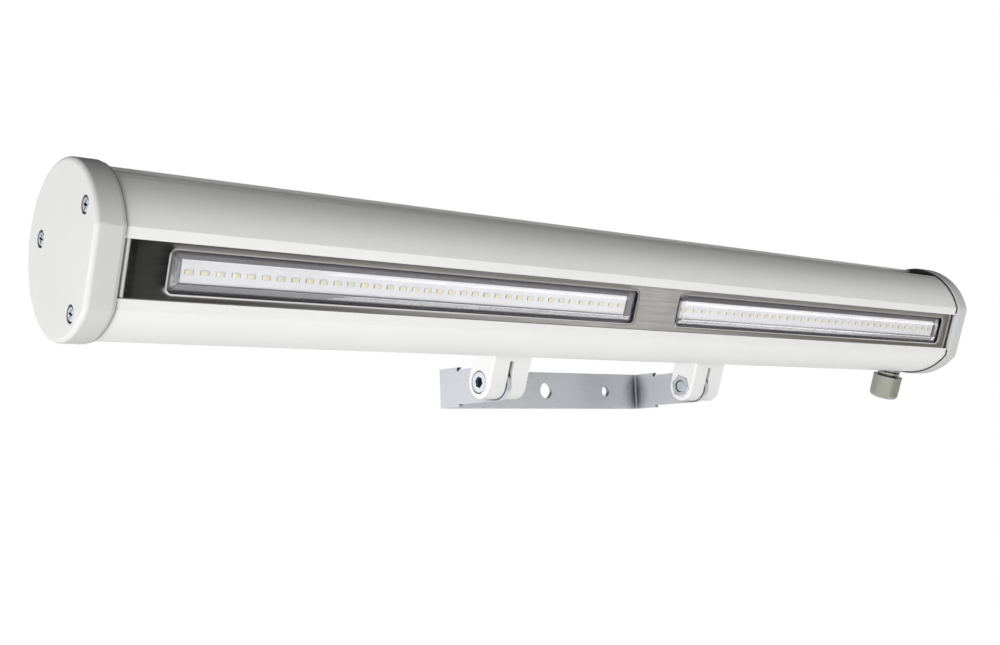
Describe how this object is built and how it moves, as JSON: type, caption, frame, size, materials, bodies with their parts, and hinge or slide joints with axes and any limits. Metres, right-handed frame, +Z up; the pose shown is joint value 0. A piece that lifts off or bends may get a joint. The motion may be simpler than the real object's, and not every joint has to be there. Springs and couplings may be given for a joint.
{
  "type": "led flood light",
  "caption": "Tubular outdoor flood light with two linear lens windows, tilting on a U-shaped wall bracket.",
  "frame": {"origin": "centre of the bracket's middle hole, on the web face that lies on the wall", "axes": "+X along the tube towards the cable gland, +Y into the wall, +Z up; the lamp hangs in front of the wall, light towards -Y"},
  "size_m": [0.689, 0.1175, 0.107],
  "materials": {
    "tube_powder_coat": "satin white powder coat",
    "reflector_steel": "polished",
    "tray_steel": "plain zinc coated sheet",
    "driver_case": "satin",
    "zinc_screws": "bright zinc",
    "black_screws": "black oxide",
    "terminal_plastic": "matt",
    "lead_sheath": "matt",
    "gland_polyamide": "matt",
    "black_rubber": "matt",
    "lens_clear": "clear",
    "lens_silicone": "black silicone",
    "board_white": "white solder mask",
    "tape_grey": "dark grey, matt",
    "chip_phosphor": "satin",
    "cap_plastic": "fine texture",
    "lug_powder_coat": "satin white powder coat",
    "bracket_galvanised": "galvanised, matt"
  },
  "bodies": {
    "bracket": {"wall_bracket": "bracket_galvanised"},
    "luminaire": {"tube_housing": "tube_powder_coat", "reflector_plate": "reflector_steel", "driver_tray": "tray_steel", "led_driver": "driver_case", "driver_screws": "zinc_screws", "terminal_block": "terminal_plastic", "terminal_screw": "zinc_screws", "mains_lead": "lead_sheath", "lug_grip_screws": "black_screws", "gland_body": "gland_polyamide", "gland_washer": "black_rubber", "gland_locknut": "gland_polyamide", "gland_seal": "black_rubber", "gland_nut": "gland_polyamide", "lens_left": "lens_clear", "lens_seal_left": "lens_silicone", "led_board_left": "board_white", "board_tape_left": "tape_grey", "led_chips_left": "chip_phosphor", "led_lead_left": "lead_sheath", "end_cap_left": "cap_plastic", "end_gasket_left": "black_rubber", "cap_screws_left": "zinc_screws", "lug_left": "lug_powder_coat", "pivot_bolt_left": "zinc_screws", "pivot_nut_left": "zinc_screws", "lens_right": "lens_clear", "lens_seal_right": "lens_silicone", "led_board_right": "board_white", "board_tape_right": "tape_grey", "led_chips_right": "chip_phosphor", "led_lead_right": "lead_sheath", "end_cap_right": "cap_plastic", "end_gasket_right": "black_rubber", "cap_screws_right": "zinc_screws", "lug_right": "lug_powder_coat", "pivot_bolt_right": "zinc_screws", "pivot_nut_right": "zinc_screws"}
  },
  "joints": [
    {"name": "tilt", "type": "hinge", "parent": "bracket", "child": "luminaire", "pos_m": [0, -0.0567, 0], "axis": [1, 0, 0], "range_deg": [-35, 110]}
  ]
}
